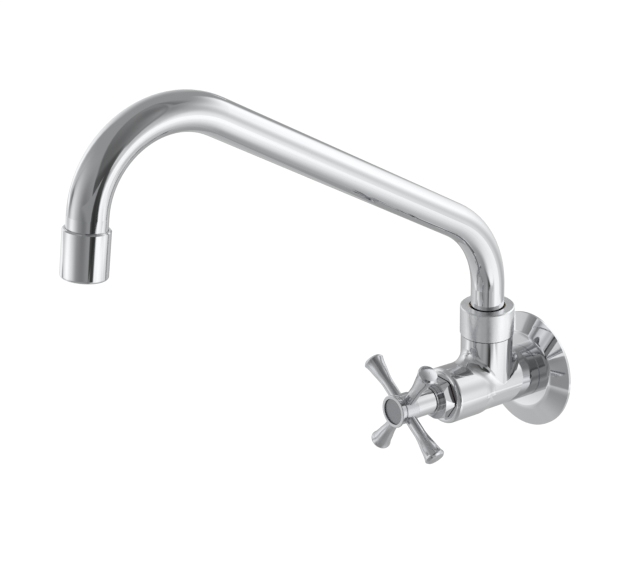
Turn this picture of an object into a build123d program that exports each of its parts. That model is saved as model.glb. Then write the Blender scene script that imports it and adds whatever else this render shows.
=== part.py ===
from build123d import *
import os
from math import cos, radians, sin, sqrt

# Wall faucet with a swivelling spout and a cross handle. Lengths in millimetres, angles in degrees.
# The wall is the plane Y = 0 and the faucet stands out of it towards -Y, with +Z up.
# The origin lies where the inlet axis crosses the wall. Stations named *_out are distances from
# the wall, and heights named *_up are measured along the leaning axis that the spout turns on.

# Clearances
thread_gap = 0.1        # radial, between two screwed or pushed-in pieces
run_gap = 0.05          # radial, between a shaft that turns and its hole
slide_gap = 0.1         # per side, between a sliding hexagon and its guide
end_play = 0.1          # axial, between pieces that turn against each other
body_gap = 0.3          # between outer faces that pass each other
cut_over = 1.0          # how far a groove's cutter stands out of the surface

# Inlet tail and barrel
inlet_thread_d = 20.955
tail_l = 18.0
tail_chamfer = 1.0
tail_relief_d = 19.4
tail_relief_l = 6.0
inlet_bore_d = 12.5
barrel_d = 31.0
front_d = 32.8
front_past_riser = 14.6  # from the riser axis to the wider front
front_out = 70.0
front_step_l = 8.0
front_round = 2.5
barrel_edge = 0.5

# Wall flange
flange_d = 69.6
flange_depth = 6.0
flange_rim_h = 1.6
flange_flat_d = 46.0
flange_sheet = 1.3
flange_crease = 8.0
seal_width = 3.5
seal_t = 2.0

# Upstand of the tee
riser_out = 34.4
riser_lean = 4.8
neck_d = 29.9
neck_fillet = 7.5
neck_shoulder_up = 32.35
neck_thread_d = 26.4
neck_top_up = 43.5
neck_bore_d = 22.8
neck_bore_up = 21.0
riser_port_d = 16.4
riser_port_up = 2.0       # its lower end, above the inner inlet tube
neck_edge = 0.5

# Spout nut
nut_d = 31.0
nut_lip_t = 3.0
nut_hole_d = 20.8
nut_edge = 0.6
nut_shadow_gap = 0.15    # between the nut and the shoulder of the neck

# Spout tube, on its centreline
tube_d = 19.0
tube_wall = 1.2
tube_socket_l = 12.2
bend_up = 61.8
riser_bend_r = 55.5
slope = 31.6
straight_l = 171.6
crook_r = 45.6
outlet_lean = 10.5      # of the outlet, out from the swivel axis

# Spout foot and its seals
foot_flange_d = 25.4
foot_flange_t = 2.0
foot_end_gap = 1.0
foot_bore_d = 15.8
slip_ring_t = 0.6
slip_ring_w = 1.1
foot_ring_section = 1.5
foot_ring_pitch = 5.0
foot_ring_up = 24.6
groove_slack = 0.05
groove_side = 0.35

# Outlet sleeve and aerator
sleeve_lead = 5.7       # straight tube between the crook and the sleeve
sleeve_d = 22.0
sleeve_l = 22.6
sleeve_socket_l = 10.0
sleeve_ledge_t = 2.0
sleeve_ledge_d = 16.4
sleeve_cavity_d = 19.4
sleeve_top_edge = 0.5
sleeve_round = 1.2
outlet_recess = 0.5
aerator_washer_t = 1.5
aerator_washer_hole_d = 14.0
screen_t = 0.6
screen_hole_d = 1.3
screen_pitch = 2.0
insert_hole_d = 1.9
insert_pitch = 2.4
lock_ring_t = 1.4
lock_ring_hole_d = 16.6

# Waterway, seat and valve carrier
gallery_d = 24.8
mouth_d = 20.4         # the threaded mouth that the bonnet screws into
mouth_l = 12.5
gallery_out = 19.0
inlet_tube_d = 17.2
inlet_tube_out = 46.5
seat_thread_d = 13.6
seat_thread_l = 5.0
seat_flange_d = 16.8
seat_flange_t = 1.5
seat_lip_d = 12.4
seat_lip_h = 1.0
seat_hex = 9.0
valve_travel = 4.0
valve_washer_d = 14.6
valve_washer_t = 3.0
carrier_d = 16.8
carrier_disc_t = 2.0
carrier_rim_h = 1.5
carrier_hex = 13.6
carrier_hex_l = 7.4
carrier_screw_d = 5.9
carrier_screw_l = 12.5
washer_screw_d = 3.0
washer_screw_l = 8.0
washer_screw_head_d = 6.2
washer_screw_head_t = 1.4

# Headwork
bonnet_thread_l = 11.0
bonnet_edge = 0.8
bonnet_washer_t = 0.5
bonnet_washer_w = 1.2
bonnet_hex = 23.0
bonnet_hex_t = 5.5
bonnet_base_d = 25.4    # across the turned corners, at the body
bonnet_crown_d = 23.4   # and at the front
bonnet_neck_d = 13.2
bonnet_neck_l = 12.0
spindle_d = 10.4
spindle_collar_d = 13.5
spindle_collar_t = 2.4
spindle_gap = 1.2       # between the open carrier and the spindle
thrust_washer_t = 0.8
spindle_ring_section = 1.1
spindle_ring_pitch = 3.4
spindle_ring_in = 3.5   # of the outer ring's middle, from the neck's end
circlip_t = 0.8
circlip_d = 12.6
circlip_groove_d = 8.8
circlip_mouth = 3.0
circlip_edge = 0.4
circlip_shoulder = 1.0
square = 6.0
square_l = 8.6
square_edge = 0.6
neck_ring_d = 16.4
neck_ring_t = 1.4
neck_ring_step = 1.65
neck_ring_n = 2

# Cross handle
skirt_d = 15.2
skirt_wall = 0.7
skirt_l = 13.4
hub_d = 16.8
hub_l = 9.2
hub_spigot_l = 2.5
hub_ring_d = 16.8
hub_ring_l = 2.3
hub_groove = 0.45
hub_groove_w = 0.7
hub_round = 0.35
bezel_d = 18.6
bezel_t = 1.1
bezel_round = 0.45
button_d = 14.64
button_t = 1.0
button_recess = 0.8
button_wall = 0.9
button_edge = 0.2
hub_web_t = 2.4
spoke_n = 4
spoke_turn = 57.0       # of the first spoke from +X towards +Z, as it stands when shut
spoke_from = 3.0
spoke_root_r = 3.35
spoke_waist_at = 17.0
spoke_flare_at = 26.0
spoke_flare_r = 4.5
spoke_tip_at = 33.2
spoke_tip_r = 6.1
spoke_end_at = 35.1
spoke_end_r = 4.9
spoke_dome = 0.6
spoke_round = 0.9
handle_screw_d = 4.0
screw_hole_spare = 1.0
handle_screw_l = 10.0
handle_screw_head_d = 8.0
handle_screw_head_t = 2.0
handle_screw_drive = 2.5
handle_screw_drive_h = 1.2

# Stations along the barrel, worked out from the sizes above
front_from = riser_out + front_past_riser
carrier_seat_out = inlet_tube_out + seat_flange_t + seat_lip_h + end_play
carrier_disc_out = carrier_seat_out + valve_washer_t
carrier_hex_out = carrier_disc_out + carrier_disc_t
carrier_top_out = carrier_hex_out + carrier_hex_l
spindle_out = carrier_top_out + valve_travel + spindle_gap
collar_front_out = spindle_out + spindle_collar_t
shoulder_out = collar_front_out + end_play + thrust_washer_t
hex_out = front_out + bonnet_washer_t
hex_front_out = hex_out + bonnet_hex_t
bonnet_end_out = hex_front_out + bonnet_neck_l
circlip_out = bonnet_end_out + end_play
square_out = circlip_out + circlip_t + circlip_shoulder
spindle_end_out = square_out + square_l
skirt_out = hex_front_out + neck_ring_step * (neck_ring_n - 1) + neck_ring_t + body_gap
hub_out = skirt_out + skirt_l
hub_ring_out = hub_out + hub_l
bezel_out = hub_ring_out + hub_ring_l
handle_front_out = bezel_out + bezel_t

# Radii that several pieces share
tail_r = inlet_thread_d / 2
barrel_r = barrel_d / 2
front_r = front_d / 2
neck_r = neck_d / 2
neck_thread_r = neck_thread_d / 2
neck_bore_r = neck_bore_d / 2
gallery_r = gallery_d / 2
mouth_r = mouth_d / 2
inlet_tube_r = inlet_tube_d / 2
seat_thread_r = seat_thread_d / 2
tube_r = tube_d / 2
spindle_r = spindle_d / 2
screw_socket_r = carrier_screw_d / 2 + run_gap

# Planes and axes. On a half plane x runs along or away from the axis and y is the other way.
lean_cos, lean_sin = cos(radians(riser_lean)), sin(radians(riser_lean))
riser_foot = (0, -riser_out, 0)
riser_up = (0, -lean_sin, lean_cos)
barrel_half = Plane(origin=(0, 0, 0), x_dir=(0, -1, 0), z_dir=(-1, 0, 0))
barrel_axis = Axis((0, 0, 0), (0, -1, 0))
riser_half = Plane(origin=riser_foot, x_dir=(0, -lean_cos, -lean_sin), z_dir=(-1, 0, 0))
riser_axis = Axis(riser_foot, riser_up)
riser_base = Plane(origin=riser_foot, x_dir=(1, 0, 0), z_dir=riser_up)


def station(out):
    """The plane across the barrel at a distance from the wall, facing the user."""
    return Plane(origin=(0, -out, 0), x_dir=(1, 0, 0), z_dir=(0, -1, 0))


def band(start, stop, inner_r, outer_r):
    """The corners of a ring's section on barrel_half."""
    return [(start, inner_r), (start, outer_r), (stop, outer_r), (stop, inner_r)]


def hoop(low, high, inner_r, outer_r):
    """The corners of a ring's section on riser_half or flow_half."""
    return [(inner_r, low), (outer_r, low), (outer_r, high), (inner_r, high)]


def finish(piece, name):
    """Label a finished piece and write it out."""
    piece.part.label = name
    export_step(piece.part, f"parts/{name}.step")


os.makedirs("parts", exist_ok=True)

# ---- Body: a cast tee with its inlet tail, and an inner tube that carries the water to the seat
with BuildPart() as valve_body:
    with BuildSketch(barrel_half):
        with BuildLine():
            Polyline([
                (front_out, 0),
                (-tail_l, 0),
                (-tail_l, tail_r - tail_chamfer),
                (tail_chamfer - tail_l, tail_r),
                (flange_depth - tail_relief_l, tail_r),
                (flange_depth - tail_relief_l, tail_relief_d / 2),
                (flange_depth, tail_relief_d / 2),
                (flange_depth, barrel_r - barrel_edge),
                (flange_depth + barrel_edge, barrel_r),
                (front_from - front_step_l, barrel_r),
            ])
            # The barrel swells into its wider front in a soft S
            half_step = (front_from - front_step_l / 2, (barrel_r + front_r) / 2)
            TangentArc((front_from - front_step_l, barrel_r), half_step, tangent=(1, 0))
            TangentArc((front_from, front_r), half_step, tangent=(-1, 0))
            Polyline([(front_from, front_r), (front_out, front_r), (front_out, 0)])
        make_face()
    revolve(axis=barrel_axis)
    with BuildSketch(riser_base):
        Circle(neck_r)
    extrude(amount=neck_shoulder_up)
    fillet(valve_body.edges(Select.NEW), neck_fillet)
    fillet(valve_body.edges().filter_by(GeomType.CIRCLE).group_by(Axis.Y)[0], front_round)
    with BuildSketch(riser_half):
        Polygon([
            (0, neck_shoulder_up - neck_edge),
            (neck_thread_r, neck_shoulder_up - neck_edge),
            (neck_thread_r, neck_top_up - neck_edge),
            (neck_thread_r - neck_edge, neck_top_up),
            (0, neck_top_up),
        ])
    revolve(axis=riser_axis)
    # The gallery round the inlet tube, open into the valve chamber and the mouth for the headwork
    with BuildSketch(barrel_half):
        Polygon([
            (gallery_out, inlet_tube_r),
            (gallery_out, gallery_r),
            (front_out - mouth_l, gallery_r),
            (front_out - mouth_l, mouth_r),
            (front_out, mouth_r),
            (front_out, 0),
            (inlet_tube_out, 0),
            (inlet_tube_out, inlet_tube_r),
        ])
    revolve(axis=barrel_axis, mode=Mode.SUBTRACT)
    # Inlet bore, with the wider thread for the seat at its end
    with BuildSketch(barrel_half):
        Polygon([
            (-tail_l, 0),
            (-tail_l, inlet_bore_d / 2),
            (inlet_tube_out - seat_thread_l, inlet_bore_d / 2),
            (inlet_tube_out - seat_thread_l, seat_thread_r),
            (inlet_tube_out, seat_thread_r),
            (inlet_tube_out, 0),
        ])
    revolve(axis=barrel_axis, mode=Mode.SUBTRACT)
    # Port up from the gallery, and the bore that the spout foot turns in
    with BuildSketch(riser_half):
        Polygon([
            (0, inlet_tube_r + riser_port_up),
            (riser_port_d / 2, inlet_tube_r + riser_port_up),
            (riser_port_d / 2, neck_bore_up),
            (neck_bore_r, neck_bore_up),
            (neck_bore_r, neck_top_up),
            (0, neck_top_up),
        ])
    revolve(axis=riser_axis, mode=Mode.SUBTRACT)
finish(valve_body, "valve_body")

# ---- Wall flange: a pressed dish, flat where it meets the barrel
flange_fall = flange_depth - flange_rim_h
flange_run = (flange_d - flange_flat_d) / 2
flange_slant = flange_sheet * sqrt(flange_fall**2 + flange_run**2) / flange_run
flange_hole_r = tail_r + body_gap
flange_inner_r = flange_d / 2 - flange_sheet

with BuildPart() as wall_flange:
    with BuildSketch(barrel_half):
        Polygon([
            (0, flange_d / 2),
            (flange_rim_h, flange_d / 2),
            (flange_depth, flange_flat_d / 2),
            (flange_depth, flange_hole_r),
            (flange_depth - flange_sheet, flange_hole_r),
            (flange_depth - flange_sheet, flange_flat_d / 2 - flange_sheet / 2),
            (flange_rim_h + flange_fall * flange_sheet / flange_run - flange_slant, flange_inner_r),
            (0, flange_inner_r),
        ])
    revolve(axis=barrel_axis)
    crease = wall_flange.edges().filter_by(GeomType.CIRCLE)
    fillet(crease.filter_by(lambda edge: abs(edge.radius - flange_flat_d / 2) < 0.01), flange_crease)
finish(wall_flange, "wall_flange")

with BuildPart() as flange_seal:
    with BuildSketch(barrel_half):
        seal_out = flange_depth - flange_sheet
        Polygon(band(seal_out - seal_t, seal_out, tail_r + thread_gap, tail_r + thread_gap + seal_width))
    revolve(axis=barrel_axis)
finish(flange_seal, "flange_seal")

# ---- Seat, screwed into the end of the inlet tube
seat_flange_out = inlet_tube_out + seat_flange_t
with BuildPart() as valve_seat:
    with BuildSketch(barrel_half):
        Polygon([
            (inlet_tube_out - seat_thread_l, 0),
            (inlet_tube_out - seat_thread_l, seat_thread_r - thread_gap),
            (inlet_tube_out, seat_thread_r - thread_gap),
            (inlet_tube_out, seat_flange_d / 2),
            (seat_flange_out, seat_flange_d / 2),
            (seat_flange_out, seat_lip_d / 2),
            (seat_flange_out + seat_lip_h, seat_lip_d / 2),
            (seat_flange_out + seat_lip_h, 0),
        ])
    revolve(axis=barrel_axis)
    with BuildSketch(station(seat_flange_out + seat_lip_h)):
        RegularPolygon(seat_hex / 2, 6, major_radius=False)
    extrude(amount=-(seat_thread_l + seat_flange_t + seat_lip_h), mode=Mode.SUBTRACT)
finish(valve_seat, "valve_seat")

# ---- Valve carrier: a disc on a hexagon that slides in the bonnet, with a screwed stem
washer_screw_hole_r = washer_screw_d / 2 + thread_gap
with BuildPart() as valve_carrier:
    with BuildSketch(barrel_half):
        Polygon([
            (carrier_disc_out - carrier_rim_h, valve_washer_d / 2 + slide_gap),
            (carrier_disc_out - carrier_rim_h, carrier_d / 2),
            (carrier_hex_out, carrier_d / 2),
            (carrier_hex_out, 0),
            (carrier_disc_out, 0),
            (carrier_disc_out, valve_washer_d / 2 + slide_gap),
        ])
    revolve(axis=barrel_axis)
    with BuildSketch(station(carrier_hex_out)):
        RegularPolygon(carrier_hex / 2, 6, major_radius=False)
    extrude(amount=carrier_hex_l)
    with BuildSketch(station(carrier_top_out)):
        Circle(carrier_screw_d / 2)
    extrude(amount=carrier_screw_l)
    chamfer(valve_carrier.faces().sort_by(Axis.Y)[0].edges(), carrier_screw_d / 10)
    with BuildSketch(station(carrier_disc_out)):
        Circle(washer_screw_hole_r)
    extrude(amount=washer_screw_l - valve_washer_t, mode=Mode.SUBTRACT)
finish(valve_carrier, "valve_carrier")

with BuildPart() as valve_washer:
    with BuildSketch(barrel_half):
        Polygon(band(carrier_seat_out, carrier_disc_out, washer_screw_hole_r, valve_washer_d / 2))
    revolve(axis=barrel_axis)
finish(valve_washer, "valve_washer")

with BuildPart() as washer_screw:
    with BuildSketch(barrel_half):
        Polygon([
            (carrier_seat_out - washer_screw_head_t, 0),
            (carrier_seat_out - washer_screw_head_t, washer_screw_head_d / 2),
            (carrier_seat_out, washer_screw_head_d / 2),
            (carrier_seat_out, washer_screw_d / 2),
            (carrier_seat_out + washer_screw_l, washer_screw_d / 2),
            (carrier_seat_out + washer_screw_l, 0),
        ])
    revolve(axis=barrel_axis)
    with BuildSketch(station(carrier_seat_out - washer_screw_head_t)):
        Rectangle(washer_screw_head_d * 2, washer_screw_head_t / 2)
    extrude(amount=washer_screw_head_t / 2, mode=Mode.SUBTRACT)
finish(washer_screw, "washer_screw")

# ---- Bonnet: screwed into the body's mouth, with a crowned hexagon and a long neck
bonnet_in_out = front_out - bonnet_thread_l
with BuildPart() as bonnet:
    with BuildSketch(barrel_half):
        Polygon([
            (bonnet_in_out, 0),
            (bonnet_in_out, mouth_r - thread_gap - bonnet_edge),
            (bonnet_in_out + bonnet_edge, mouth_r - thread_gap),
            (hex_out, mouth_r - thread_gap),
            (hex_out, 0),
        ])
    revolve(axis=barrel_axis)
    with BuildSketch(station(hex_out)):
        RegularPolygon(bonnet_hex / 2, 6, major_radius=False)
    extrude(amount=bonnet_hex_t)
    # The corners are turned down to a slight cone
    with BuildSketch(barrel_half):
        Polygon([
            (hex_out, bonnet_base_d / 2),
            (hex_out, bonnet_hex),
            (hex_front_out, bonnet_hex),
            (hex_front_out, bonnet_crown_d / 2),
        ])
    revolve(axis=barrel_axis, mode=Mode.SUBTRACT)
    with BuildSketch(station(hex_front_out)):
        Circle(bonnet_neck_d / 2)
    extrude(amount=bonnet_neck_l)
    # Hexagonal guide for the carrier, then the bore for the spindle
    with BuildSketch(station(bonnet_in_out)):
        RegularPolygon(carrier_hex / 2 + slide_gap, 6, major_radius=False)
    extrude(amount=shoulder_out - bonnet_in_out, mode=Mode.SUBTRACT)
    with BuildSketch(station(bonnet_end_out)):
        Circle(spindle_r + run_gap)
    extrude(amount=shoulder_out - bonnet_end_out, mode=Mode.SUBTRACT)
finish(bonnet, "bonnet")

with BuildPart() as bonnet_washer:
    with BuildSketch(barrel_half):
        Polygon(band(front_out, hex_out, mouth_r, mouth_r + bonnet_washer_w))
    revolve(axis=barrel_axis)
finish(bonnet_washer, "bonnet_washer")

# ---- Two plain rings close the joint between the hexagon and the handle's skirt
with BuildPart() as neck_rings:
    for turn in range(neck_ring_n):
        with BuildSketch(barrel_half):
            start = hex_front_out + neck_ring_step * turn
            Polygon(band(start, start + neck_ring_t, bonnet_neck_d / 2 + thread_gap, neck_ring_d / 2))
        revolve(axis=barrel_axis)
finish(neck_rings, "neck_rings")

# ---- Spindle, with its thrust washer, seals, circlip and the square that the handle sits on
spindle_ring_r = spindle_ring_section / 2
spindle_groove_r = spindle_r - spindle_ring_section - groove_slack
ring_stations = [
    bonnet_end_out - spindle_ring_in - spindle_ring_pitch * step for step in range(2)
]
socket_out = carrier_top_out + valve_travel + carrier_screw_l + end_play
screw_hole_l = handle_screw_l - hub_web_t + screw_hole_spare

with BuildPart() as spindle:
    with BuildSketch(barrel_half):
        Polygon([
            (spindle_out, 0),
            (spindle_out, spindle_collar_d / 2),
            (collar_front_out, spindle_collar_d / 2),
            (collar_front_out, spindle_r),
            (square_out, spindle_r),
            (square_out, 0),
        ])
    revolve(axis=barrel_axis)
    with BuildSketch(station(square_out)):
        RectangleRounded(square, square, square_edge)
    extrude(amount=square_l)
    with BuildSketch(barrel_half):
        for middle in ring_stations:
            half_l = spindle_ring_r + groove_side
            Polygon(band(middle - half_l, middle + half_l, spindle_groove_r, spindle_r + cut_over))
        Polygon(band(circlip_out, circlip_out + circlip_t, circlip_groove_d / 2, spindle_r + cut_over))
    revolve(axis=barrel_axis, mode=Mode.SUBTRACT)
    with BuildSketch(station(spindle_out)):
        Circle(screw_socket_r)
    extrude(amount=socket_out - spindle_out, mode=Mode.SUBTRACT)
    with BuildSketch(station(spindle_end_out)):
        Circle(handle_screw_d / 2 + thread_gap)
    extrude(amount=-screw_hole_l, mode=Mode.SUBTRACT)
finish(spindle, "spindle")

with BuildPart() as spindle_o_rings:
    with BuildSketch(barrel_half):
        with Locations([(middle, spindle_groove_r + groove_slack + spindle_ring_r) for middle in ring_stations]):
            Circle(spindle_ring_r)
    revolve(axis=barrel_axis)
finish(spindle_o_rings, "spindle_o_rings")

with BuildPart() as thrust_washer:
    with BuildSketch(barrel_half):
        outer = carrier_hex / 2 - thread_gap
        Polygon(band(shoulder_out - thrust_washer_t, shoulder_out, spindle_r + thread_gap, outer))
    revolve(axis=barrel_axis)
finish(thrust_washer, "thrust_washer")

with BuildPart() as circlip:
    with BuildSketch(station(circlip_out)):
        Circle(circlip_d / 2)
        Circle(circlip_groove_d / 2 + groove_slack, mode=Mode.SUBTRACT)
        with Locations((0, -circlip_d / 2)):
            Rectangle(circlip_mouth, circlip_d, mode=Mode.SUBTRACT)
    extrude(amount=circlip_t - 2 * groove_slack)
    fillet(circlip.edges().filter_by(Axis.Y), circlip_edge)
finish(circlip, "circlip")

# ---- Cross handle: a round hub with a bezel, and flared spokes
spoke_out = (hub_out + hub_ring_out) / 2
spoke_centre = (0, -spoke_out, 0)
button_seat_out = handle_front_out - button_recess - button_t
web_front_out = spindle_end_out + end_play + hub_web_t
hub_r = hub_d / 2
button_pocket_r = button_d / 2 + thread_gap

with BuildPart() as cross_handle:
    with BuildSketch(barrel_half):
        Polygon([
            (hub_out - hub_spigot_l, 0),
            (hub_out - hub_spigot_l, skirt_d / 2 - skirt_wall - thread_gap),
            (hub_out, skirt_d / 2 - skirt_wall - thread_gap),
            (hub_out, hub_r),
            (hub_ring_out - hub_groove_w, hub_r),
            (hub_ring_out - hub_groove_w, hub_r - hub_groove),
            (hub_ring_out, hub_r - hub_groove),
            (hub_ring_out, hub_ring_d / 2),
            (bezel_out, hub_ring_d / 2),
            (bezel_out, bezel_d / 2),
            (handle_front_out, bezel_d / 2),
            (handle_front_out, 0),
        ])
    revolve(axis=barrel_axis)
    for rim_r, rim_round in ((bezel_d / 2, bezel_round), (hub_r, hub_round)):
        rims = cross_handle.edges().filter_by(GeomType.CIRCLE)
        fillet(rims.filter_by(lambda rim: abs(rim.radius - rim_r) < 0.01), rim_round)
    for number in range(spoke_n):
        angle = radians(spoke_turn + 360 / spoke_n * number)
        along = (cos(angle), 0, sin(angle))
        with BuildSketch(Plane(origin=spoke_centre, x_dir=along, z_dir=(0, -1, 0))):
            with BuildLine():
                Line((spoke_from, spoke_root_r), (spoke_waist_at, spoke_root_r))
                Spline(
                    (spoke_waist_at, spoke_root_r),
                    (spoke_flare_at, spoke_flare_r),
                    (spoke_tip_at, spoke_tip_r),
                    tangents=[(1, 0), (2, 1)],
                )
                Line((spoke_tip_at, spoke_tip_r), (spoke_end_at - spoke_dome, spoke_end_r))
                TangentArc((spoke_end_at, 0), (spoke_end_at - spoke_dome, spoke_end_r), tangent=(0, 1))
                Polyline((spoke_end_at, 0), (spoke_from, 0), (spoke_from, spoke_root_r))
            make_face()
        revolve(axis=Axis(spoke_centre, along))
    tips = cross_handle.edges().filter_by(GeomType.CIRCLE)
    fillet(tips.filter_by(lambda rim: abs(rim.radius - spoke_tip_r) < 0.01), spoke_round)
    # Square socket for the spindle, the web that the screw clamps, and the pocket for the button
    with BuildSketch(station(hub_out - hub_spigot_l)):
        RectangleRounded(square + 2 * run_gap, square + 2 * run_gap, square_edge)
    extrude(amount=spindle_end_out + end_play - hub_out + hub_spigot_l, mode=Mode.SUBTRACT)
    with BuildSketch(station(web_front_out)):
        Circle(handle_screw_d / 2 + body_gap)
    extrude(amount=-hub_web_t, mode=Mode.SUBTRACT)
    with BuildSketch(station(web_front_out)):
        Circle(button_pocket_r)
    extrude(amount=handle_front_out - web_front_out, mode=Mode.SUBTRACT)
finish(cross_handle, "cross_handle")

with BuildPart() as handle_skirt:
    with BuildSketch(barrel_half):
        Polygon(band(skirt_out, hub_out, skirt_d / 2 - skirt_wall, skirt_d / 2))
    revolve(axis=barrel_axis)
    chamfer(handle_skirt.edges().group_by(Axis.Y)[-1].sort_by(SortBy.RADIUS)[-1], skirt_wall / 3)
finish(handle_skirt, "handle_skirt")

with BuildPart() as handle_screw:
    with BuildSketch(barrel_half):
        Polygon([
            (web_front_out - handle_screw_l, 0),
            (web_front_out - handle_screw_l, handle_screw_d / 2),
            (web_front_out, handle_screw_d / 2),
            (web_front_out, handle_screw_head_d / 2),
            (web_front_out + handle_screw_head_t, handle_screw_head_d / 2),
            (web_front_out + handle_screw_head_t, 0),
        ])
    revolve(axis=barrel_axis)
    with BuildSketch(station(web_front_out + handle_screw_head_t)):
        RegularPolygon(handle_screw_drive / 2, 6, major_radius=False)
    extrude(amount=-handle_screw_drive_h, mode=Mode.SUBTRACT)
finish(handle_screw, "handle_screw")

with BuildPart() as index_button:
    with BuildSketch(barrel_half):
        Polygon([
            (button_seat_out, 0),
            (button_seat_out, button_d / 2 - button_wall),
            (web_front_out, button_d / 2 - button_wall),
            (web_front_out, button_d / 2),
            (button_seat_out + button_t - button_edge, button_d / 2),
            (button_seat_out + button_t, button_d / 2 - button_edge),
            (button_seat_out + button_t, 0),
        ])
    revolve(axis=barrel_axis)
finish(index_button, "index_button")

# ---- Spout nut and the slip rings above and below the foot's flange
foot_flange_up = neck_top_up + slip_ring_t + end_play
foot_top_up = foot_flange_up + foot_flange_t
nut_lip_up = foot_top_up + end_play + slip_ring_t
nut_top_up = nut_lip_up + nut_lip_t
nut_foot_up = neck_shoulder_up + nut_shadow_gap
nut_r = nut_d / 2
nut_thread_r = neck_thread_r + thread_gap
slip_ring_r = foot_flange_d / 2

with BuildPart() as spout_nut:
    with BuildSketch(riser_half):
        Polygon([
            (nut_thread_r, nut_foot_up),
            (nut_r - nut_edge, nut_foot_up),
            (nut_r, nut_foot_up + nut_edge),
            (nut_r, nut_top_up - nut_edge),
            (nut_r - nut_edge, nut_top_up),
            (nut_hole_d / 2, nut_top_up),
            (nut_hole_d / 2, nut_lip_up),
            (nut_thread_r, nut_lip_up),
        ])
    revolve(axis=riser_axis)
finish(spout_nut, "spout_nut")

with BuildPart() as slip_rings:
    with BuildSketch(riser_half):
        for low in (neck_top_up, nut_lip_up - slip_ring_t):
            Polygon(hoop(low, low + slip_ring_t, slip_ring_r - slip_ring_w, slip_ring_r))
    revolve(axis=riser_axis)
finish(slip_rings, "slip_rings")

# ---- Spout foot: brazed on the tube's end, turns in the neck on two O-rings
foot_r = neck_bore_r - run_gap
foot_low_up = neck_bore_up + foot_end_gap
tube_foot_up = foot_top_up - tube_socket_l
foot_ring_r = foot_ring_section / 2
foot_groove_r = foot_r - foot_ring_section - groove_slack
foot_ring_ups = [foot_ring_up + foot_ring_pitch * step for step in range(2)]

with BuildPart() as spout_foot:
    with BuildSketch(riser_half):
        Polygon([
            (foot_bore_d / 2, foot_low_up),
            (foot_r, foot_low_up),
            (foot_r, foot_flange_up),
            (foot_flange_d / 2, foot_flange_up),
            (foot_flange_d / 2, foot_top_up),
            (tube_r + thread_gap, foot_top_up),
            (tube_r + thread_gap, tube_foot_up),
            (foot_bore_d / 2, tube_foot_up),
        ])
        for middle in foot_ring_ups:
            half_l = foot_ring_r + groove_side
            Polygon(hoop(middle - half_l, middle + half_l, foot_groove_r, foot_r + cut_over), mode=Mode.SUBTRACT)
    revolve(axis=riser_axis)
finish(spout_foot, "spout_foot")

with BuildPart() as foot_o_rings:
    with BuildSketch(riser_half):
        with Locations([(foot_groove_r + groove_slack + foot_ring_r, middle) for middle in foot_ring_ups]):
            Circle(foot_ring_r)
    revolve(axis=riser_axis)
finish(foot_o_rings, "foot_o_rings")

# ---- Spout tube: up, over at the riser bend, along the rise and down round the crook
socket_l = sleeve_lead + sleeve_socket_l
with BuildPart() as spout_tube:
    with BuildLine(riser_half) as spout_line:
        stem = Line((0, tube_foot_up), (0, bend_up))
        riser_bend = JernArc(stem @ 1, stem % 1, riser_bend_r, slope - 90)
        rise = Line(riser_bend @ 1, riser_bend @ 1 + (riser_bend % 1) * straight_l)
        crook = JernArc(rise @ 1, rise % 1, crook_r, outlet_lean - 90 - slope)
        Line(crook @ 1, crook @ 1 + (crook % 1) * socket_l)
    with BuildSketch(riser_base.offset(tube_foot_up)):
        Circle(tube_r)
        Circle(tube_r - tube_wall, mode=Mode.SUBTRACT)
    sweep(path=spout_line.wires()[0])
finish(spout_tube, "spout_tube")

# ---- Outlet sleeve on the tube's end, holding the aerator
outlet_half = Plane(origin=crook @ 1, x_dir=crook % 1, z_dir=(-1, 0, 0))
outlet_axis = Axis(crook @ 1, crook % 1)
sleeve_end = sleeve_lead + sleeve_l
ledge_end = socket_l + sleeve_ledge_t
sleeve_r = sleeve_d / 2
cavity_r = sleeve_cavity_d / 2
insert_r = cavity_r - run_gap

with BuildPart() as outlet_sleeve:
    with BuildSketch(outlet_half):
        Polygon([
            (sleeve_lead, tube_r + thread_gap),
            (sleeve_lead, sleeve_r - sleeve_top_edge),
            (sleeve_lead + sleeve_top_edge, sleeve_r),
            (sleeve_end, sleeve_r),
            (sleeve_end, cavity_r),
            (ledge_end, cavity_r),
            (ledge_end, sleeve_ledge_d / 2),
            (socket_l, sleeve_ledge_d / 2),
            (socket_l, tube_r + thread_gap),
        ])
    revolve(axis=outlet_axis)
    fillet(outlet_sleeve.edges().sort_by(outlet_axis)[-2:].sort_by(SortBy.RADIUS)[-1], sleeve_round)
finish(outlet_sleeve, "outlet_sleeve")

screen_from = ledge_end + aerator_washer_t
insert_from = screen_from + screen_t
lock_ring_to = sleeve_end - outlet_recess
insert_to = lock_ring_to - lock_ring_t

with BuildPart() as aerator_washer:
    with BuildSketch(outlet_half):
        Polygon(band(ledge_end, screen_from, aerator_washer_hole_d / 2, insert_r))
    revolve(axis=outlet_axis)
finish(aerator_washer, "aerator_washer")

outlet_plane = Plane(origin=crook @ 1, x_dir=(1, 0, 0), z_dir=crook % 1)
for name, low, high, hole_d, pitch in (
    ("aerator_screen", screen_from, insert_from, screen_hole_d, screen_pitch),
    ("aerator_insert", insert_from, insert_to, insert_hole_d, insert_pitch),
):
    with BuildPart() as disc:
        with BuildSketch(outlet_plane.offset(low)):
            Circle(insert_r)
            Circle(hole_d / 2, mode=Mode.SUBTRACT)
            for ring in range(1, int(lock_ring_hole_d / 2 / pitch) + 1):
                with PolarLocations(ring * pitch, 6 * ring):
                    Circle(hole_d / 2, mode=Mode.SUBTRACT)
        extrude(amount=high - low)
    finish(disc, name)

with BuildPart() as aerator_lock_ring:
    with BuildSketch(outlet_half):
        Polygon(band(insert_to, lock_ring_to, lock_ring_hole_d / 2, insert_r))
    revolve(axis=outlet_axis)
finish(aerator_lock_ring, "aerator_lock_ring")
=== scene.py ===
import bpy, bmesh, math
from mathutils import Matrix, Vector


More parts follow.
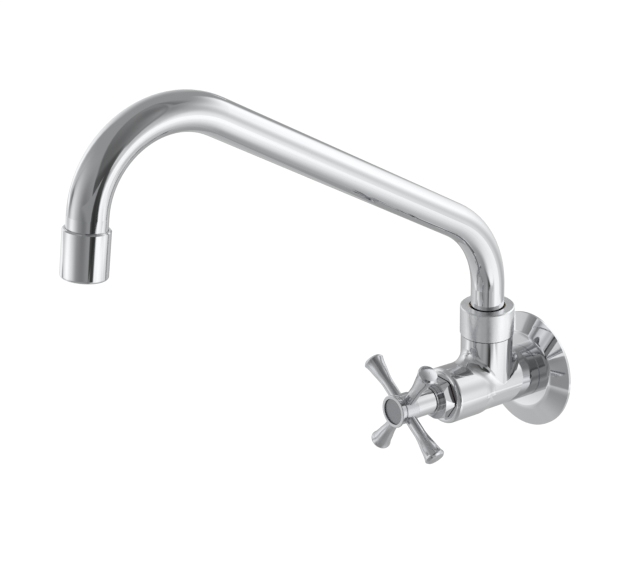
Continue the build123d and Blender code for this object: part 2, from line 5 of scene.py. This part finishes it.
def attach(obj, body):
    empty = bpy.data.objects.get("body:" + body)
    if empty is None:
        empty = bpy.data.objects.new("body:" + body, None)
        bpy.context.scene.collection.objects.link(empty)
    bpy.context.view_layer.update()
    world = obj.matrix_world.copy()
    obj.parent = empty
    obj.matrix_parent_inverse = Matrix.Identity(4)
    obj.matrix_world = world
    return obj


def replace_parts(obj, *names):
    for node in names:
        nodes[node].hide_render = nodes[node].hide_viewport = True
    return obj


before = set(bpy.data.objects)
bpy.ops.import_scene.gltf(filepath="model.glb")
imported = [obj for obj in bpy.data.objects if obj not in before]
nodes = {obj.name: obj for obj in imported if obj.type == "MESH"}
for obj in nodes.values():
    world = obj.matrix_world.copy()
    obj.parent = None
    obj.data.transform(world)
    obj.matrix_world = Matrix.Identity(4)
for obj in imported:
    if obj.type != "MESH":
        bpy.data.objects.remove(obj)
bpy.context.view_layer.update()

mm = 0.001
cloudRange = (0.3, 0.7)     # what a noise pattern really spans, out of 0 to 1
weldGap = 0.001 * mm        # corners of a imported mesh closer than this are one


def linearColor(hexText):
    # "#RRGGBB" in sRGB, as a paint chart gives it, to Blender's linear colour
    parts = [int(hexText[i:i + 2], 16) / 255 for i in (1, 3, 5)]
    return tuple(c / 12.92 if c <= 0.04045 else ((c + 0.055) / 1.055) ** 2.4 for c in parts) + (1.0,)


def connect(tree, node, links):
    # links go from socket name to (node, output)
    for key, (source, output) in links.items():
        tree.links.new(source.outputs[output], node.inputs[key])


def addNode(tree, kind, settings=None, links=None):
    # settings are properties or socket values
    node = tree.nodes.new(kind)
    for key, value in (settings or {}).items():
        if isinstance(key, int) or key in node.inputs:
            node.inputs[key].default_value = value
        else:
            setattr(node, key, value)
    connect(tree, node, links or {})
    return node


def emptyTree(owner):
    # the node tree of a new material or world, without the nodes that it starts with
    owner.use_nodes = True
    owner.node_tree.nodes.clear()
    return owner.node_tree


def startMaterial(finish):
    # a Principled surface with its plain colour and metal, and a cloudy pattern that
    # drives its gloss between two roughnesses
    material = bpy.data.materials.new(finish["name"])
    material.use_nodes = True
    tree = material.node_tree
    surface = tree.nodes["Principled BSDF"]
    surface.inputs["Base Color"].default_value = linearColor(finish["color"])
    surface.inputs["Metallic"].default_value = finish.get("metal", 1.0)
    place = addNode(tree, "ShaderNodeTexCoord")
    cloud = addNode(tree, "ShaderNodeTexNoise", {"Scale": 1 / (finish["patch"] * mm), "Detail": finish["detail"]},
                    {"Vector": (place, "Object")})
    gloss = addNode(tree, "ShaderNodeMapRange",
                    {1: cloudRange[0], 2: cloudRange[1], 3: finish["rough"][0], 4: finish["rough"][1]},
                    {"Value": (cloud, "Fac")})
    connect(tree, surface, {"Roughness": (gloss, "Result")})
    return material, tree, surface, place, cloud


def polishedChrome(finish):
    # bright chromium plate on polished brass: mirror sharp, with the faint haze and
    # orange peel that plating leaves, and wipe marks that show only as uneven gloss
    material, tree, surface, place, _ = startMaterial(finish)
    peel = addNode(tree, "ShaderNodeTexNoise", {"Scale": 1 / (finish["peelSize"] * mm), "Detail": 1.0},
                   {"Vector": (place, "Object")})
    relief = addNode(tree, "ShaderNodeBump", {"Strength": finish["peel"], "Distance": finish["peelDepth"] * mm},
                     {"Height": (peel, "Fac")})
    connect(tree, surface, {"Normal": (relief, "Normal")})
    return material


def turnedChrome(finish):
    # chrome over a lathe finish: the fine turning lines smear what it mirrors along the
    # axis, so edges that run along the nut stay crisp and the rest turns soft
    material, tree, surface, place, _ = startMaterial(finish)
    surface.inputs["Anisotropic"].default_value = finish["smear"]
    fromAxis = addNode(tree, "ShaderNodeVectorMath", {"operation": "SUBTRACT", 1: finish["axisFoot"]},
                       {0: (place, "Object")})
    across = addNode(tree, "ShaderNodeVectorMath", {"operation": "CROSS_PRODUCT", 0: finish["axis"]},
                     {1: (fromAxis, "Vector")})
    turned = addNode(tree, "ShaderNodeVectorTransform", {"convert_from": "OBJECT", "convert_to": "WORLD"},
                     {0: (across, "Vector")})
    cut = addNode(tree, "ShaderNodeVectorMath", {"operation": "NORMALIZE"}, {0: (turned, "Vector")})
    stretch = addNode(tree, "ShaderNodeMapping", {"Scale": [1 / (size * mm) for size in finish["lineSize"]]},
                      {"Vector": (place, "Object")})
    lines = addNode(tree, "ShaderNodeTexNoise", {"Scale": 1.0, "Detail": 1.0}, {"Vector": (stretch, "Vector")})
    relief = addNode(tree, "ShaderNodeBump", {"Strength": finish["lines"], "Distance": finish["lineDepth"] * mm},
                     {"Height": (lines, "Fac")})
    connect(tree, surface, {"Tangent": (cut, "Vector"), "Normal": (relief, "Normal")})
    return material


def speckled(finish):
    # the pattern behind the duller finishes: colour, gloss and a low relief drift together
    material, tree, surface, place, cloud = startMaterial(finish)
    tint = addNode(tree, "ShaderNodeMix",
                   {"data_type": "RGBA", 6: linearColor(finish["color"]), 7: linearColor(finish["patchColor"])},
                   {0: (cloud, "Fac")})
    relief = addNode(tree, "ShaderNodeBump",
                     {"Strength": finish["relief"], "Distance": finish["reliefDepth"] * mm},
                     {"Height": (cloud, "Fac")})
    connect(tree, surface, {"Base Color": (tint, 2), "Normal": (relief, "Normal")})
    surface.inputs["Subsurface Weight"].default_value = finish.get("milky", 0.0)
    surface.inputs["Subsurface Radius"].default_value = (mm, mm, mm)
    return material


# "rough" is the range of roughness, and "patch" the size in millimetres of its clouds
chrome = {"name": "polishedChrome", "color": "#DADBDD", "patch": 14.0, "detail": 3.0, "rough": (0.035, 0.06),
          "peel": 0.08, "peelSize": 5.0, "peelDepth": 0.02}
handleChrome = {"name": "castChrome", "color": "#CECFD2", "patch": 7.0, "detail": 3.0, "rough": (0.13, 0.19),
                "peel": 0.08, "peelSize": 2.5, "peelDepth": 0.05}
nutChrome = {"name": "turnedChrome", "color": "#E4E5E7", "patch": 9.0, "detail": 2.0, "rough": (0.2, 0.26),
             "smear": 0.7, "axisFoot": (0, -0.0344, 0), "axis": (0, -0.083678, 0.996493),
             "lines": 0.05, "lineSize": (8, 8, 0.4), "lineDepth": 0.01}
# chrome plate over a bead-blasted face: an even pearl grey with no mirror image
buttonChrome = {"name": "satinChrome", "color": "#8F9194", "patchColor": "#9EA0A3", "patch": 0.5, "detail": 2.0,
                "rough": (0.34, 0.42), "relief": 0.15, "reliefDepth": 0.01}
# turned brass, bare and slightly aged: warm yellow, with dull browner patches
brass = {"name": "machinedBrass", "color": "#CFAE62", "patchColor": "#A98543", "patch": 3.0, "detail": 4.0,
         "rough": (0.22, 0.38), "relief": 0.1, "reliefDepth": 0.02}
# drawn wire and pressed sheet: cool grey with a soft, broken gloss
stainless = {"name": "stainlessSteel", "color": "#BFC1C4", "patchColor": "#AEB0B3", "patch": 0.6, "detail": 3.0,
             "rough": (0.22, 0.34), "relief": 0.1, "reliefDepth": 0.01}
# moulded black nitrile: matt, with a dusty bloom that greys it in patches
rubber = {"name": "nitrileRubber", "color": "#171718", "patchColor": "#2B2B2C", "metal": 0.0, "patch": 1.5,
          "detail": 4.0, "rough": (0.5, 0.68), "relief": 0.2, "reliefDepth": 0.03}
# pressed brown fibre: dull and faintly fibrous, darker where it has drunk water
brownFibre = {"name": "vulcanisedFibre", "color": "#4A2A22", "patchColor": "#3A201A", "metal": 0.0, "patch": 0.4,
              "detail": 5.0, "rough": (0.6, 0.78), "relief": 0.3, "reliefDepth": 0.03}
# injection-moulded natural nylon: milky white with a low waxy sheen
nylon = {"name": "mouldedNylon", "color": "#ECEAE3", "patchColor": "#DEDBD2", "metal": 0.0, "patch": 2.0,
         "detail": 2.0, "rough": (0.32, 0.42), "relief": 0.1, "reliefDepth": 0.02, "milky": 0.08}

finishes = {
    "chrome": polishedChrome(chrome), "castChrome": polishedChrome(handleChrome),
    "turnedChrome": turnedChrome(nutChrome), "satin": speckled(buttonChrome), "brass": speckled(brass),
    "stainless": speckled(stainless), "rubber": speckled(rubber), "fibre": speckled(brownFibre),
    "nylon": speckled(nylon),
}
nodeFinish = {
    "chrome": ("valve_body", "wall_flange", "bonnet", "neck_rings", "spout_tube", "outlet_sleeve",
               "aerator_lock_ring", "handle_skirt"),
    "castChrome": ("cross_handle",),
    "turnedChrome": ("spout_nut",),
    "satin": ("index_button",),
    "brass": ("valve_seat", "valve_carrier", "spindle", "spout_foot"),
    "stainless": ("handle_screw", "washer_screw", "circlip", "aerator_screen"),
    "rubber": ("flange_seal", "valve_washer", "spindle_o_rings", "foot_o_rings", "aerator_washer"),
    "fibre": ("bonnet_washer",),
    "nylon": ("slip_rings", "thrust_washer", "aerator_insert"),
}
for finishName, nodeNames in nodeFinish.items():
    for nodeName in nodeNames:
        nodes[nodeName].data.materials.clear()
        nodes[nodeName].data.materials.append(finishes[finishName])
print("materials")


def meshObject(shape, name, finish):
    # the finished mesh as an object of the scene
    mesh = bpy.data.meshes.new(name)
    shape.to_mesh(mesh)
    shape.free()
    mesh.materials.append(finish)
    made = bpy.data.objects.new(name, mesh)
    bpy.context.scene.collection.objects.link(made)
    return made


def placePiece(shape, name, body, finish, smoothAngle=None):
    # the finished mesh as one piece that moves with its body
    piece = meshObject(shape, name, finish)
    piece.data.shade_smooth()
    if smoothAngle:
        piece.data.set_sharp_from_angle(angle=math.radians(smoothAngle))
    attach(piece, body)
    return piece


def trimmedBody():
    # the cast tee as it is, cut off out of sight inside the wall flange, 1 mm in front of the
    # wall plane, to make room for a real thread
    source = nodes["valve_body"].data
    shape = bmesh.new()
    shape.from_mesh(source)
    normalLayer = shape.loops.layers.float_vector.new("keptNormal")
    corners = iter(source.corner_normals)
    for face in shape.faces:
        for corner in face.loops:
            corner[normalLayer] = next(corners).vector
    bmesh.ops.remove_doubles(shape, verts=shape.verts, dist=weldGap)
    cut = bmesh.ops.bisect_plane(shape, geom=shape.verts[:] + shape.edges[:] + shape.faces[:],
                                 plane_co=(0, tail["joint"] * mm, 0), plane_no=(0, 1, 0), clear_outer=True)
    rims = [item for item in cut["geom_cut"] if isinstance(item, bmesh.types.BMEdge)]
    bmesh.ops.bridge_loops(shape, edges=rims)
    piece = placePiece(shape, "castBody", "body", finishes["chrome"])
    kept = piece.data.attributes["keptNormal"]
    piece.data.normals_split_custom_set([item.vector[:] for item in kept.data])
    # looked up anew, because setting the normals can move what the mesh stores
    piece.data.attributes.remove(piece.data.attributes["keptNormal"])
    return piece


def inletThread():
    # one pitch of the thread's edge, swept up a helix, then cut off square at both ends
    shape = bmesh.new()
    rise, crest = tail["pitch"] * mm, tail["crest"] * mm
    root = crest - tail["depth"] * mm
    turns = math.ceil(tail["end"] / tail["pitch"]) + tail["spareTurns"]
    foot, top = tail["flank"]
    edge = [shape.verts.new((radius, (part - tail["spareTurns"] / 2) * rise, 0)) for part, radius in
            ((0, root), (foot, root), (top, crest), (1 - top, crest), (1 - foot, root), (1, root))]
    lines = [shape.edges.new(pair) for pair in zip(edge, edge[1:])]
    bmesh.ops.spin(shape, geom=edge + lines, cent=(0, 0, 0), axis=(0, 1, 0), dvec=(0, rise / tail["steps"], 0),
                   angle=2 * math.pi * turns, steps=tail["steps"] * turns, use_merge=False)
    bmesh.ops.remove_doubles(shape, verts=shape.verts, dist=tail["weld"] * mm)
    # the first thread runs in from the neck behind the flange, and the last is chamfered off
    for vert in shape.verts:
        radius = math.hypot(vert.co.x, vert.co.z)
        runIn = tail["neck"] * mm + vert.co.y * tail["runIn"]
        room = min(runIn, crest + (tail["end"] - tail["chamfer"]) * mm - vert.co.y)
        if radius > max(room, root):
            vert.co.x *= max(room, root) / radius
            vert.co.z *= max(room, root) / radius
    loops = []
    for height, outward in ((0, -1), (tail["end"], 1)):
        cut = bmesh.ops.bisect_plane(shape, geom=shape.verts[:] + shape.edges[:] + shape.faces[:],
                                     plane_co=(0, height * mm, 0), plane_no=(0, outward, 0), clear_outer=True)
        loops.append([item for item in cut["geom_cut"] if isinstance(item, bmesh.types.BMEdge)])
    rings = []
    for radius, height in ((tail["neck"], tail["joint"]), (tail["bore"], tail["joint"]),
                           (tail["bore"], tail["end"])):
        lay = Matrix.Translation((0, height * mm, 0)) @ Matrix.Rotation(math.radians(90), 4, "X")
        ring = bmesh.ops.create_circle(shape, segments=tail["steps"], radius=radius * mm, matrix=lay)
        rings.append(list({line for vert in ring["verts"] for line in vert.link_edges}))
    chain = [loops[0]] + rings + [loops[1]]
    for one, other in zip(chain, chain[1:]):
        bmesh.ops.bridge_loops(shape, edges=one + other)
    bmesh.ops.recalc_face_normals(shape, faces=shape.faces)
    return placePiece(shape, "inletThread", "body", finishes["brass"], tail["smoothAngle"])


# The threaded inlet, in millimetres: 14 threads to the inch, as a half-inch pipe has. The
# flank says where in each pitch the thread's side starts and ends.
tail = {"joint": -1.0, "end": 18.0, "chamfer": 1.0, "neck": 9.7, "bore": 6.25, "crest": 10.4775,
        "pitch": 1.814, "depth": 1.162, "flank": (0.1, 0.42), "runIn": 0.6, "spareTurns": 3,
        "steps": 72, "weld": 0.002, "smoothAngle": 32}
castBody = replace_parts(trimmedBody(), "valve_body")
inletThread()
print("valve body and inlet thread")


studio = {
    "floorHeight": -0.75, "floorSize": 30.0, "floorColor": "#F4F4F2",
    "roomLight": 0.55,          # what matt surfaces receive from the room
    "floorFill": 0.53,          # lifts the lit floor to plain white for the camera
    "lampPlace": (0.7, -1.1, 1.1), "lampSize": 1.0, "lampPower": 5.0,
}
# Angles in degrees, the place in millimetres, and the focal length in pixels of a picture
# that is pictureWidth pixels wide
cameraView = {"azimuth": 52.744, "elevation": 21.591, "roll": 1.815, "focal": 1335.551,
              "pictureWidth": 626, "place": (500.756, -544.741, 338.501)}


def makeCamera():
    turn, rise, roll = (math.radians(cameraView[angle]) for angle in ("azimuth", "elevation", "roll"))
    back = Vector((math.sin(turn) * math.cos(rise), -math.cos(turn) * math.cos(rise), math.sin(rise)))
    right = Vector((math.cos(turn), math.sin(turn), 0))
    up = back.cross(right)
    turned = (math.cos(roll) * right + math.sin(roll) * up,
              -math.sin(roll) * right + math.cos(roll) * up, back)
    data = bpy.data.cameras.new("photoCamera")
    data.lens = data.sensor_width * cameraView["focal"] / cameraView["pictureWidth"]
    data.clip_start, data.clip_end = 0.01, 100
    camera = bpy.data.objects.new("photoCamera", data)
    place = Matrix.Translation(Vector(cameraView["place"]) * mm)
    camera.matrix_world = place @ Matrix(turned).transposed().to_4x4()
    bpy.context.scene.collection.objects.link(camera)
    bpy.context.scene.camera = camera


# The light tent that the chrome mirrors. Azimuth runs from -180 to 180 with 0 at the photographer
# and 90 to the right of the picture, elevation from -90 to 90. Each edge of a panel is
# (place, softness) in degrees, and a leaning edge moves sideways with each degree of elevation.
tent = {"radius": 0.8, "middle": (0, -0.15, 0.08), "segments": 96, "light": 0.4, "strength": 1.43}
panels = {
    "tentTop": {"light": 0.27, "left": (-300, 1), "right": (300, 1), "low": (-34, 0.5), "high": (200, 1)},
    "softboxRight": {"light": 1.24, "left": (37.5, 115), "right": (162.5, 14.5),
                     "low": (-44.5, 92.5), "high": (51.5, 31.5), "leanLeft": 1.52, "leanRight": -0.4},
    "softboxLeft": {"light": 2.28, "left": (-135.5, 150), "right": (-107.5, 17),
                    "low": (-7, 139.5), "high": (21.5, 79.5), "leanLeft": -0.16, "leanRight": -0.18},
    "stripLeft": {"light": 0.56, "left": (-195.5, 19), "right": (-52.5, 23.5),
                  "low": (-10, 0.5), "high": (-5, 6.5), "leanRight": -1.2},
    "tableRim": {"light": 0.02, "left": (92.5, 116), "right": (109, 51.5),
                 "low": (-20, 0.5), "high": (76.5, 0.5), "leanLeft": -0.79, "leanRight": -1.19},
    "tableGrey": {"light": 0.25, "left": (-78.5, 45), "right": (-62.5, 60.5),
                  "low": (-89, 78.5), "high": (-8.5, 1), "leanLeft": -0.25, "leanRight": -1.83},
    "tentShade": {"light": 0, "left": (-31, 37), "right": (52, 12.5),
                  "low": (-111.5, 87.5), "high": (-2, 77.5), "leanLeft": -0.9, "leanRight": 0.74},
    "photographer": {"light": 0, "left": (10.5, 8), "right": (42, 5),
                     "low": (-20, 1), "high": (44, 207.5), "leanLeft": -0.73, "leanRight": 0.24},
    "tentGap": {"light": 0.01, "left": (6.5, 2.5), "right": (40, 5),
                "low": (-14, 0.5), "high": (16, 11), "leanLeft": -0.6, "leanRight": -0.39},
    "tentBack": {"light": 0.29, "left": (125, 191), "right": (400, 1),
                 "low": (-101, 24.5), "high": (51, 135), "leanLeft": 0.7},
    "stripFront": {"light": 2.44, "left": (-82.5, 36), "right": (-72.5, 79.5),
                   "low": (-36, 0.5), "high": (-2.5, 92), "leanLeft": 0.06, "leanRight": 0.59},
    "tableFront": {"light": 2.5, "left": (-147, 0.5), "right": (-6.5, 21),
                   "low": (-26.5, 33), "high": (-35.5, 2), "leanLeft": -0.84, "leanRight": 0.51},
    "tentSeam": {"light": 2.09, "left": (16.5, 81.5), "right": (-9, 93),
                 "low": (-96, 24), "high": (-5, 91), "leanLeft": -0.21, "leanRight": 0.44},
    "tableLight": {"light": 0, "left": (65, 28), "right": (55.5, 27.5),
                   "low": (-30, 1), "high": (-23, 28.5), "leanLeft": 1.03, "leanRight": 0.26},
    "tentSlit": {"light": 0.24, "left": (-22, 19.5), "right": (22, 5),
                 "low": (-13, 4), "high": (5, 0.5), "leanLeft": -3.26, "leanRight": 0.9},
    "stripRight": {"light": 0.86, "left": (78.5, 125.5), "right": (42, 14),
                   "low": (-21, 105), "high": (52.5, 28), "leanLeft": -0.21, "leanRight": 0.2},
    "cardLowRight": {"light": 0.39, "left": (28, 7), "right": (38.5, 11),
                "low": (-33, 2), "high": (-18, 3), "leanLeft": 0.47, "leanRight": 0.11},
    "cardLowFarRight": {"light": 0.47, "left": (83.5, 10.5), "right": (106, 1),
                "low": (-55.5, 89), "high": (-24, 4), "leanLeft": -0.15, "leanRight": -0.05},
    "cardBehind": {"light": 0.88, "left": (165, 0.5), "right": (174, 4.5),
                  "low": (23.5, 0.5), "high": (26.5, 6), "leanLeft": 0.05},
    "cardFarLeft": {"light": 0.55, "left": (-120, 3.5), "right": (-108, 1.5),
                 "low": (0, 0.5), "high": (18.5, 49.5), "leanLeft": 0.33, "leanRight": 1.04},
    "cardRightFoot": {"light": 1.21, "left": (87, 0.5), "right": (97.5, 26.5),
                 "low": (-30, 2.5), "high": (-35.5, 82), "leanLeft": -0.15, "leanRight": -0.33},
    "cardHighRight": {"light": 0.12, "left": (60, 12), "right": (74.5, 52),
                "low": (55.5, 5.5), "high": (98, 19), "leanLeft": 0.03, "leanRight": 0.03},
    "cardLowLeft": {"light": 0.41, "left": (-96, 1.5), "right": (-86, 4),
                  "low": (-44.5, 4), "high": (-35.5, 3), "leanLeft": -0.09, "leanRight": -0.34},
    "cardFrontLeft": {"light": 0.08, "left": (-63.5, 2.5), "right": (-56, 12),
                  "low": (-28.5, 1.5), "high": (-8, 0.5), "leanLeft": -0.62, "leanRight": -0.09},
    "cardMidRight": {"light": 0.57, "left": (40.5, 2), "right": (48, 3.5),
                 "low": (-1.5, 0.5), "high": (11.5, 29), "leanLeft": -0.04, "leanRight": -0.83},
    "cardLeft": {"light": 0.19, "left": (-99.5, 7), "right": (-87, 2.5),
                "low": (1.5, 9.5), "high": (10.5, 5), "leanLeft": 0.41, "leanRight": 0.13},
}


def makeTent():
    # the dome of the light tent, which only mirrors see
    shape = bmesh.new()
    bmesh.ops.create_uvsphere(shape, u_segments=tent["segments"], v_segments=tent["segments"] // 2,
                              radius=tent["radius"])
    bmesh.ops.translate(shape, vec=tent["middle"], verts=shape.verts)
    material = bpy.data.materials.new("tentFabric")
    dome = meshObject(shape, "lightTent", material)
    dome.visible_camera = dome.visible_diffuse = dome.visible_shadow = False
    dome.visible_transmission = dome.visible_volume_scatter = False

    tree = emptyTree(material)
    place = addNode(tree, "ShaderNodeTexCoord")
    outward = addNode(tree, "ShaderNodeVectorMath", {"operation": "SUBTRACT", 1: tent["middle"]},
                      {0: (place, "Object")})
    # turned about the vertical until the photographer is on +X, where the azimuth is 0
    turn = addNode(tree, "ShaderNodeVectorRotate",
                   {"rotation_type": "Z_AXIS", "Angle": math.radians(90 - cameraView["azimuth"])},
                   {"Vector": (outward, "Vector")})
    unit = addNode(tree, "ShaderNodeVectorMath", {"operation": "NORMALIZE"}, {0: (turn, "Vector")})
    split = addNode(tree, "ShaderNodeSeparateXYZ", None, {"Vector": (unit, "Vector")})
    turnAngle = addNode(tree, "ShaderNodeMath", {"operation": "ARCTAN2"}, {0: (split, "Y"), 1: (split, "X")})
    azimuth = addNode(tree, "ShaderNodeMath", {"operation": "DEGREES"}, {0: (turnAngle, 0)})
    riseAngle = addNode(tree, "ShaderNodeMath", {"operation": "ARCSINE"}, {0: (split, "Z")})
    elevation = addNode(tree, "ShaderNodeMath", {"operation": "DEGREES"}, {0: (riseAngle, 0)})
    shade = addNode(tree, "ShaderNodeValue")
    shade.outputs[0].default_value = tent["light"]
    for panel in panels.values():
        fade = None
        for source, side, lean, sign in ((azimuth, "left", "leanLeft", 1), (azimuth, "right", "leanRight", -1),
                                         (elevation, "low", "", 1), (elevation, "high", "", -1)):
            edge, soft = panel[side]
            if lean in panel:
                source = addNode(tree, "ShaderNodeMath", {"operation": "MULTIPLY_ADD", 1: -panel[lean]},
                                 {0: (elevation, 0), 2: (azimuth, 0)})
            step = addNode(tree, "ShaderNodeMapRange",
                           {"interpolation_type": "SMOOTHSTEP", 1: edge - sign * soft / 2,
                            2: edge + sign * soft / 2, 3: 0.0, 4: 1.0}, {0: (source, 0)})
            if fade is None:
                fade = step
            else:
                fade = addNode(tree, "ShaderNodeMath", {"operation": "MULTIPLY"}, {0: (fade, 0), 1: (step, 0)})
        shade = addNode(tree, "ShaderNodeMix", {"data_type": "FLOAT", 3: panel["light"]},
                        {0: (fade, 0), 2: (shade, 0)})
    glow = addNode(tree, "ShaderNodeEmission", {"Strength": tent["strength"]}, {"Color": (shade, 0)})
    addNode(tree, "ShaderNodeOutputMaterial", None, {"Surface": (glow, 0)})


def makeFloor():
    # a plain pale floor that keeps its shadows, and adds just enough of its own light to
    # show as white to the camera and in metal and glass
    shape = bmesh.new()
    bmesh.ops.create_grid(shape, x_segments=1, y_segments=1, size=studio["floorSize"] / 2)
    bmesh.ops.translate(shape, vec=(0, 0, studio["floorHeight"]), verts=shape.verts)
    material = bpy.data.materials.new("paleFloor")
    floor = meshObject(shape, "paleFloor", material)
    tree = emptyTree(material)
    matt = addNode(tree, "ShaderNodeBsdfDiffuse", {"Color": linearColor(studio["floorColor"])})
    ray = addNode(tree, "ShaderNodeLightPath")
    mirrored = addNode(tree, "ShaderNodeMath", {"operation": "MAXIMUM"},
                       {0: (ray, "Is Glossy Ray"), 1: (ray, "Is Transmission Ray")})
    seen = addNode(tree, "ShaderNodeMath", {"operation": "MAXIMUM"}, {0: (ray, "Is Camera Ray"), 1: (mirrored, 0)})
    fill = addNode(tree, "ShaderNodeMath", {"operation": "MULTIPLY", 1: studio["floorFill"]}, {0: (seen, 0)})
    glow = addNode(tree, "ShaderNodeEmission", None, {"Strength": (fill, 0)})
    both = addNode(tree, "ShaderNodeAddShader", None, {0: (matt, 0), 1: (glow, 0)})
    addNode(tree, "ShaderNodeOutputMaterial", None, {"Surface": (both, 0)})


def makeLamp():
    # one wide soft lamp that shapes the matt pieces, while the chrome mirrors the tent alone
    data = bpy.data.lights.new("softLamp", "AREA")
    data.size = studio["lampSize"]
    data.energy = studio["lampPower"]
    lamp = bpy.data.objects.new("softLamp", data)
    place = Vector(studio["lampPlace"])
    aim = (place - Vector(tent["middle"])).to_track_quat("Z", "Y")
    lamp.matrix_world = Matrix.Translation(place) @ aim.to_matrix().to_4x4()
    lamp.visible_glossy = False
    bpy.context.scene.collection.objects.link(lamp)


def makeWorld():
    # plain white to the camera, also through glass, and plain soft light on everything else
    world = bpy.data.worlds.new("whiteStudio")
    bpy.context.scene.world = world
    tree = emptyTree(world)
    plain = addNode(tree, "ShaderNodeBackground", {"Color": (1, 1, 1, 1), "Strength": studio["roomLight"]})
    white = addNode(tree, "ShaderNodeBackground", {"Color": (1, 1, 1, 1), "Strength": 1.0})
    ray = addNode(tree, "ShaderNodeLightPath")
    seen = addNode(tree, "ShaderNodeMath", {"operation": "MAXIMUM"},
                   {0: (ray, "Is Camera Ray"), 1: (ray, "Is Transmission Ray")})
    mixed = addNode(tree, "ShaderNodeMixShader", None, {0: (seen, 0), 1: (plain, 0), 2: (white, 0)})
    addNode(tree, "ShaderNodeOutputWorld", None, {"Surface": (mixed, 0)})


makeCamera()
makeTent()
makeFloor()
makeLamp()
makeWorld()
bpy.context.scene.view_settings.view_transform = "Standard"
print("studio")
